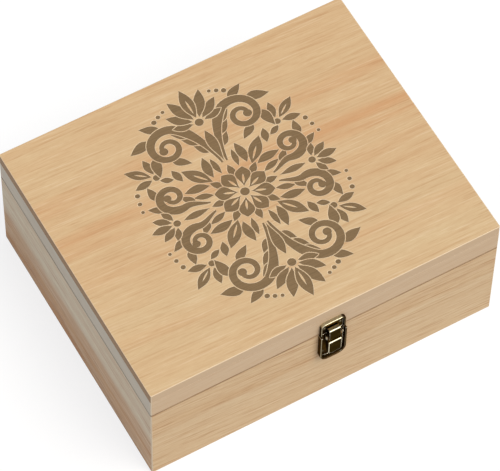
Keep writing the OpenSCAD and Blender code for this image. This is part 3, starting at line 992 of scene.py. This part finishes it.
# %% [markdown]
# ## The bronze
# The catch and the hinges are pressed from thin sheet and given an antique finish: the whole part is
# darkened in a bath, and then a polishing wheel takes the dark skin off again here and there. Over that
# wear a highlight is painted by facing: tops and upper edges, which face the upper left, are made bright,
# while fronts, hollows and undersides stay nearly black. A thin painted highlight also runs along the left
# crest of each rim, and fades out towards the right-hand rims. The part's own normal says which way a
# surface faces, so the wear and the painted highlight are worked out for every point.

# %% Where wear and a painted highlight go
# Painted highlight, along with wear: surfaces that face this way are made bright.
WEAR_AND_HIGHLIGHT_FROM = Vector((-0.45, -0.35, 0.82)).normalized()
# A thin painted highlight along each rim's left crest, fading out towards the right-hand rims.
LEFT_CREST_HIGHLIGHT = Vector((-0.62, -0.78, 0.0)).normalized()
CREST_HIGHLIGHT_FACING = (0.93, 0.985)
CREST_HIGHLIGHT_FADE = 3
RIGHT_CREST_HIGHLIGHT = 0.2


def span(name, axis):
    """From where to where a construction part reaches along an axis, in millimetres."""
    return [round(getattr(corner, axis) / MM, 2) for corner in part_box(name)]


def faces(tree, direction, first, full):
    """0 where the surface looks elsewhere, 1 where it faces that way: the limits are cosines."""
    normal = add(tree, "TexCoord").outputs["Normal"]
    facing = add(tree, "VectorMath", {0: normal, 1: direction}, operation="DOT_PRODUCT")
    return stretch(tree, facing.outputs["Value"], first, full)


def worn_and_highlit(tree, place, reach, crest_highlight):
    """Where wear and a painted highlight go: tops within reach, and left crests, fading to the right."""
    on_top = faces(tree, WEAR_AND_HIGHLIGHT_FROM, *reach)
    along = add(tree, "SeparateXYZ", {0: place}).outputs["X"]
    crest_highlight_share = stretch(tree, along, (CATCH_X - CREST_HIGHLIGHT_FADE) * MM, (CATCH_X + CREST_HIGHLIGHT_FADE) * MM, crest_highlight, RIGHT_CREST_HIGHLIGHT)
    on_crest = sum_of(tree, "MULTIPLY", faces(tree, LEFT_CREST_HIGHLIGHT, *CREST_HIGHLIGHT_FACING), crest_highlight_share)
    return sum_of(tree, "MAXIMUM", on_top, on_crest)


CATCH_X = sum(span("catch_keeper", "x")) / 2
print("middle of the catch:", round(CATCH_X, 2), "mm; wheel from", [round(v, 2) for v in WEAR_AND_HIGHLIGHT_FROM])

# %% [markdown]
# The dark skin is never even. It is worn a little lighter in soft patches, and darker specks sit where the
# bath bit deeper, which also roughen it. Both are noise, at two scales. At a flat angle dark bronze keeps
# its colour instead of turning white, so the edge tint is brown too.

# %% Darkened bronze
EDGE_TINT = (0.5, 0.47, 0.42, 1)
PATCHES = {"Scale": 260.0, "Detail": 4.0, "Roughness": 0.6}
PATCH_WORN, PATCH_DULL = (0.45, 0.70), (0.3, 0.7)
SPECKS = {"Scale": 2600.0, "Detail": 2.0}
SPECK_EDGE, SPECK_SHOWS = (0.55, 0.8), 0.6
SPECK_COLOUR = colour(22, 18, 11)
SPECK_STRENGTH, SPECK_DEPTH = 0.3, 0.02 * MM
DULLER = 0.08


def mottle(tree, place, noise):
    """Noise over a part, with the scale and detail given."""
    return add(tree, "TexNoise", {"Vector": place, **noise}).outputs[0]


def metal(tree, surface, values, relief, strength, depth):
    """Wire up a metal with these colour and roughness values and a fine relief."""
    bump = add(tree, "Bump", {"Height": relief, "Strength": strength, "Distance": depth})
    shiny = add(tree, "BsdfPrincipled", {**values, "Metallic": 1.0, "Normal": bump.outputs[0]})
    tree.links.new(shiny.outputs[0], surface)


def dark_bronze(name, skin, worn, bare, shine, reach=(0.45, 0.80), crest_highlight=0.75):
    """Sheet darkened in a bath, worn lighter in soft patches, and bare with a painted highlight by facing.
    """
    material, tree, surface = new_material(name)
    place = add(tree, "TexCoord").outputs["Object"]
    patches, specks = mottle(tree, place, PATCHES), mottle(tree, place, SPECKS)
    shade = lay_over(tree, stretch(tree, patches, *PATCH_WORN), skin, worn)
    # Painted highlight and wear: what faces the upper left, and the left crests, take the bright colour.
    shade = lay_over(tree, worn_and_highlit(tree, place, reach, crest_highlight), shade, bare)
    shade = lay_over(tree, stretch(tree, specks, *SPECK_EDGE, 0.0, SPECK_SHOWS), shade, SPECK_COLOUR)
    rough = stretch(tree, patches, *PATCH_DULL, shine + DULLER, shine)
    values = {"Base Color": shade, "Roughness": rough, "Specular Tint": EDGE_TINT}
    metal(tree, surface, values, specks, SPECK_STRENGTH, SPECK_DEPTH)
    return material


print("darkened bronze ready")

# %% [markdown]
# The rounded edges are bare: brighter and smoother than the skin, with hair-fine scratches from the wheel.
# Where they face away from the upper left they are painted duller, as painted shade.

# %% Rubbed bronze, with painted shade
PAINTED_SHADE_FACING = (0.0, 0.7)
UNEVEN = {"Scale": 420.0, "Detail": 3.0}
UNEVEN_RANGE, UNEVEN_MOST = (0.45, 0.7), 0.5
SCRATCHES = {"Scale": 5200.0, "Detail": 2.0, "Distortion": 1.5}
SCRATCH_STRENGTH, SCRATCH_DEPTH = 0.2, 0.01 * MM
SCRATCH_RANGE, RUBBED_SMOOTH, RUBBED_ROUGH = (0.3, 0.7), 0.22, 0.36


def rubbed_shaded_bronze(name, bright, dull):
    """Bare metal on rounded edges, with fine scratches; painted duller where they face away from the light.
    """
    material, tree, surface = new_material(name)
    place = add(tree, "TexCoord").outputs["Object"]
    scratches = mottle(tree, place, SCRATCHES)
    uneven = stretch(tree, mottle(tree, place, UNEVEN), *UNEVEN_RANGE, 0.0, UNEVEN_MOST)
    painted_shade_away = sum_of(tree, "SUBTRACT", 1.0, faces(tree, WEAR_AND_HIGHLIGHT_FROM, *PAINTED_SHADE_FACING))
    # Painted shade: rounded edges that face away from the upper left are made duller.
    shade = lay_over(tree, sum_of(tree, "MAXIMUM", uneven, painted_shade_away), bright, dull)
    rough = stretch(tree, scratches, *SCRATCH_RANGE, RUBBED_SMOOTH, RUBBED_ROUGH)
    values = {"Base Color": shade, "Roughness": rough}
    metal(tree, surface, values, scratches, SCRATCH_STRENGTH, SCRATCH_DEPTH)
    return material


print("rubbed bronze ready")

# %% [markdown]
# Each part hung in the bath for its own time, so each has two browns of its own and came out more or less
# smooth. The last choice is how far round a part the wear and painted highlight reach. On the flat base
# only what faces their way squarely is bright, while the lever and the link, furthest out, are brightest.

# %% Bronze of each part
# Colours of the bare metal, which also carry the painted highlight.
BARE_AND_HIGHLIT = colour(200, 193, 164)
LEVER_BARE_AND_HIGHLIT = colour(219, 212, 178)
PIN_BARE_AND_HIGHLIT = colour(120, 112, 88)
keeper_dark = dark_bronze("darkened_keeper", colour(58, 44, 27), colour(88, 68, 36), BARE_AND_HIGHLIT, 0.28,
                          reach=(0.62, 0.95))
base_dark = dark_bronze("darkened_base", colour(70, 51, 28), colour(98, 75, 38), BARE_AND_HIGHLIT, 0.44,
                        reach=(0.97, 1.0))
lever_dark = dark_bronze("darkened_lever", colour(44, 37, 27), colour(58, 49, 34), LEVER_BARE_AND_HIGHLIT, 0.26,
                         crest_highlight=0.3)
hinge_dark = dark_bronze("darkened_hinge", colour(66, 54, 34), colour(104, 86, 48), BARE_AND_HIGHLIT, 0.34)
pin_dark = dark_bronze("darkened_pin", colour(62, 54, 42), colour(92, 82, 62), PIN_BARE_AND_HIGHLIT, 0.30)
rubbed_shaded = rubbed_shaded_bronze("rubbed_shaded_bronze", colour(252, 244, 220), colour(164, 152, 116))
print("bronze:", [finish.name for finish in (keeper_dark, base_dark, lever_dark, hinge_dark, pin_dark)])

# %% [markdown]
# The two plates of the catch are pressed into shallow trays, each with a rolled rim on three sides and an
# open mouth where the other plate begins. Pressing leaves the rim half round, wider than a bevel on these
# thin parts can be. So the four sheet parts of the catch are drawn again here, each exactly where its
# construction part stands. For a tray, one rim section is carried round the outline, and the floor, the
# back and the mouth close it.

# %% Trays with rolled rims
RIM = 1.6
RIM_ROUND = 0.78
ROLL_STEPS = 4
TRAY_CORNER_STEPS = 8
TRAY_FLOOR = 1.0
DARK_SLOT, RUBBED_SHADED_SLOT = 0, 1
front = span("front_wall", "y")[0]


def quarter(first, steps):
    """Directions through a quarter turn: sine and cosine pairs from that quarter on."""
    for step in range(steps + 1):
        turn = math.pi / 2 * (first + step / steps)
        yield math.sin(turn), math.cos(turn)


def tray_outline(left, right, mouth, far, radius):
    """Round the tray from one end of its mouth to the other: points, each with its outward direction."""
    up = math.copysign(1, far - mouth)
    path = [((left, mouth), (-1, 0))]
    for middle, first in ((left + radius, -1), (right - radius, 0)):
        for x, z in quarter(first, TRAY_CORNER_STEPS):
            path.append(((middle + radius * x, far - up * radius + up * radius * z), (x, up * z)))
    return path + [((right, mouth), (1, 0))]


def rim_section(depth):
    """The rim cut through: inset from the outline and depth off the board, from the board to the floor."""
    outer = [(RIM_ROUND * (1 - c), depth - RIM_ROUND * (1 - s)) for s, c in quarter(0, ROLL_STEPS)]
    inner = [(RIM - inset, level) for inset, level in reversed(outer)]
    return [(0, 0)] + outer + inner + [(RIM, TRAY_FLOOR)]


def sweep(mesh, path, section, closed=False, rubbed_from=math.inf):
    """Carry a section along a path of (point, outward direction) pairs, bare from one strip on."""
    rings = [[mesh.verts.new((x - out_x * inset, front - level, z - out_z * inset))
              for inset, level in section] for (x, z), (out_x, out_z) in path]
    for here, ahead in zip(rings, rings[1:] + rings[:1] if closed else rings[1:]):
        for low in range(len(section) - 1):
            strip_of_rim = mesh.faces.new((here[low], here[low + 1], ahead[low + 1], ahead[low]))
            strip_of_rim.smooth = True
            strip_of_rim.material_index = RUBBED_SHADED_SLOT if low >= rubbed_from else DARK_SLOT
    mesh.faces.new([ring[0] for ring in rings])
    mesh.faces.new([ring[-1] for ring in rings])
    return rings


def press_tray(mesh, depth, left, right, mouth, far, radius):
    """A tray that stands off the board by its depth and is open at its mouth."""
    rings = sweep(mesh, tray_outline(left, right, mouth, far, radius), rim_section(depth))
    mesh.faces.new(rings[0] + rings[-1][::-1])


print("tray tools ready; the board's face is at", front, "mm")

# %% [markdown]
# Everything else on the catch is sheet seen edge on. A tab, an ear or a cheek is an outline given a
# thickness across the catch, and a bent strip is its middle line moved half a sheet to either side. Each
# drawn piece then takes the place of its construction part and moves with the same body.

# %% Sheet parts
SHEET = 0.8
FINE_EDGE = 0.14 * MM


def cut_plate(mesh, outline, low, high, slot=DARK_SLOT):
    """An outline in depth and height, made solid from one x to another."""
    sides = [[mesh.verts.new((x, front - depth, z)) for depth, z in outline] for x in (low, high)]
    for side in sides:
        mesh.faces.new(side).material_index = slot
    for here in range(len(outline)):
        ahead = (here + 1) % len(outline)
        edge = mesh.faces.new((sides[0][here], sides[1][here], sides[1][ahead], sides[0][ahead]))
        edge.smooth = True
        edge.material_index = slot


def bend(centre, radius, begin, turn, steps=6):
    """Points along a bend of the sheet, by angle in degrees from straight out."""
    return [tuple(polar(radius, begin + turn * step / steps, centre)) for step in range(steps + 1)]


def strip(line):
    """The outline of a sheet whose middle follows a line."""
    line = np.array(line)
    side = beside(line) * SHEET / 2
    return [tuple(point) for point in np.concatenate([line + side, (line - side)[::-1]])]


def axle(name):
    """Where a pin runs: how far off the board, and how high."""
    return front - sum(span(name, "y")) / 2, sum(span(name, "z")) / 2


def finish_piece(name, mesh, body, node, *finishes):
    """Turn a drawn mesh into a bronze piece that stands in for a construction part."""
    piece = finished_object(name, mesh)
    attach(piece, body)
    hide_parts(node)
    give(piece, *finishes)
    round_edges(piece, FINE_EDGE, edge_slot=RUBBED_SHADED_SLOT)


print("sheet tools ready; sheet of", SHEET, "mm")

# %% [markdown]
# The keeper is the tray on the lid, open at its lower end. The hook that the link pulls on is a tab that
# stands out from its floor, with a small lip turned up at the front. Tabs and ears start a little inside
# the sheet of their tray, so that no gap shows where they meet it.

# %% The keeper
IN_FLOOR = 0.6
KEEPER_DEPTH, KEEPER_CORNER = 3.2, 4.0
HOOK_LOW, HOOK_TOP, HOOK_HALF = 92.4, 94.0, 4.2
TAB_SHEET, LIP_SHEET = 0.9, 0.6

keeper = bmesh.new()
press_tray(keeper, KEEPER_DEPTH, *span("catch_keeper", "x"), *span("catch_keeper", "z"), KEEPER_CORNER)
hook_front = front - span("catch_keeper", "y")[0]
tab_top = HOOK_LOW + TAB_SHEET
hook = [(IN_FLOOR, HOOK_LOW), (hook_front, HOOK_LOW), (hook_front, HOOK_TOP),
        (hook_front - LIP_SHEET, HOOK_TOP), (hook_front - LIP_SHEET, tab_top), (IN_FLOOR, tab_top)]
cut_plate(keeper, hook, CATCH_X - HOOK_HALF, CATCH_X + HOOK_HALF)
finish_piece("pressed_keeper", keeper, "lid", "catch_keeper", keeper_dark, rubbed_shaded)

# %% [markdown]
# The base is the larger tray, on the case, open at its upper end just under the seam. Two ears stand up
# from its floor and hold the rivets that the lever turns on. The ears are rounded about the rivets' own
# axis, which is measured on the construction.

# %% The base
BASE_DEPTH, BASE_CORNER = 4.6, 7.5
MOUTH_BELOW_SEAM = 0.4
EAR_OUT, EAR_SHEET, EAR_LOW = 6.9, 0.9, 81.7
PIVOT_ROUND = 1.8
ROUND_END_STEPS = 12

base = bmesh.new()
mouth = span("front_wall", "z")[1] - MOUTH_BELOW_SEAM
press_tray(base, BASE_DEPTH, *span("catch_base", "x"), mouth, span("catch_base", "z")[0], BASE_CORNER)
pivot = axle("lever_rivets")
ear = [(IN_FLOOR, EAR_LOW)] + bend(pivot, PIVOT_ROUND, -90, 180, ROUND_END_STEPS) + [(IN_FLOOR, mouth)]
for near in (-EAR_OUT, EAR_OUT - EAR_SHEET):
    cut_plate(base, ear, CATCH_X + near, CATCH_X + near + EAR_SHEET)
finish_piece("pressed_base", base, "case", "catch_base", base_dark, rubbed_shaded)

# %% [markdown]
# The link is one strip. It curls round its pin, runs up in front, and turns over and down again behind the
# hook's lip. Only the line that the middle of the sheet follows is drawn.

# %% The link
LINK_CURL = 1.6
LINK_BEND = 0.5
LINK_END = 93.6
CURL_STEPS = 16

link_pin = axle("link_pin")
link_top = span("catch_link", "z")[1] - SHEET / 2
link_front = front - span("catch_link", "y")[0] - SHEET / 2
link_back = front - span("catch_link", "y")[1] + SHEET / 2
line = bend(link_pin, LINK_CURL - SHEET / 2, -270, 270, CURL_STEPS)
line += bend((link_front - LINK_BEND, link_top - LINK_BEND), LINK_BEND, 0, 90)
line += bend((link_back + LINK_BEND, link_top - LINK_BEND), LINK_BEND, 90, 90) + [(link_back, LINK_END)]
link = bmesh.new()
cut_plate(link, strip(line), *span("catch_link", "x"))
finish_piece("bent_link", link, "link", "catch_link", lever_dark, rubbed_shaded)

# %% [markdown]
# The lever is a thumb plate with a cheek folded back along each side. The plate's edge is rolled over
# like a tray's rim: a section carried all the way round, whose last strips, on the crest of the roll, the
# wheel has bared. The cheeks run up past the plate to the rivets. They have the same dark skin as the
# base, which is painted bright only where it faces the upper left squarely.

# %% The lever
THUMB_TOP = 81.7
THUMB_CORNER, THUMB_SHOULDER = 2.5, 0.9
THUMB_CORNER_STEPS = 6
PLATE_ROLL = 0.7
PLATE_ROLL_STEPS = 5
ROLL_BARE_FROM = 4
CHEEK = [(2.2, 71.7), (4.0, 68.2), (5.9, 68.2), (5.9, 81.5)]
CHEEK_SLOT = 2

left, right = span("catch_lever", "x")
thumb_low = span("catch_lever", "z")[0]
thumb_front = front - span("catch_lever", "y")[0]
thumb_path = []
for x, z, radius, first in ((right, thumb_low, THUMB_CORNER, 1), (left, thumb_low, THUMB_CORNER, 2),
                            (left, THUMB_TOP, THUMB_SHOULDER, 3), (right, THUMB_TOP, THUMB_SHOULDER, 4)):
    corner_x = x - math.copysign(radius, x - CATCH_X)
    corner_z = z + radius if z == thumb_low else z - radius
    for out_x, out_z in quarter(first, THUMB_CORNER_STEPS):
        thumb_path.append(((corner_x + radius * out_x, corner_z + radius * out_z), (out_x, out_z)))
section = [(0, thumb_front - SHEET)]
section += [(PLATE_ROLL * (1 - c), thumb_front - PLATE_ROLL * (1 - s))
            for s, c in quarter(0, PLATE_ROLL_STEPS)]
lever = bmesh.new()
sweep(lever, thumb_path, section, closed=True, rubbed_from=ROLL_BARE_FROM)
cheek = CHEEK + bend(pivot, PIVOT_ROUND, 0, 180, ROUND_END_STEPS)
for near in (left, right - SHEET):
    cut_plate(lever, cheek, near, near + SHEET, slot=CHEEK_SLOT)
finish_piece("bent_lever", lever, "lever", "catch_lever", lever_dark, rubbed_shaded, base_dark)

# %% [markdown]
# The hinges, pins, screws and nails are plain enough to keep their construction shape. They get the same
# skin and painted highlight; sharp edges are rounded and rubbed bare, wider on hinge leaves, finer on small
# parts.

# %% Bronze on the hinges and the fasteners
LEAF_EDGE = 0.22 * MM
PIN_EDGE = 0.12 * MM
hinge_parts = [name for name in nodes if name.endswith("_leaf")]
pin_parts = [name for name in nodes if name.split("_")[-1] in ("pin", "screws", "nails", "rivets")]
for names, finish, width in ((hinge_parts, hinge_dark, LEAF_EDGE), (pin_parts, pin_dark, PIN_EDGE)):
    for name in names:
        give(nodes[name], finish, rubbed_shaded)
        round_edges(nodes[name], width, edge_slot=RUBBED_SHADED_SLOT)
print("bronze construction parts:", len(hinge_parts) + len(pin_parts))
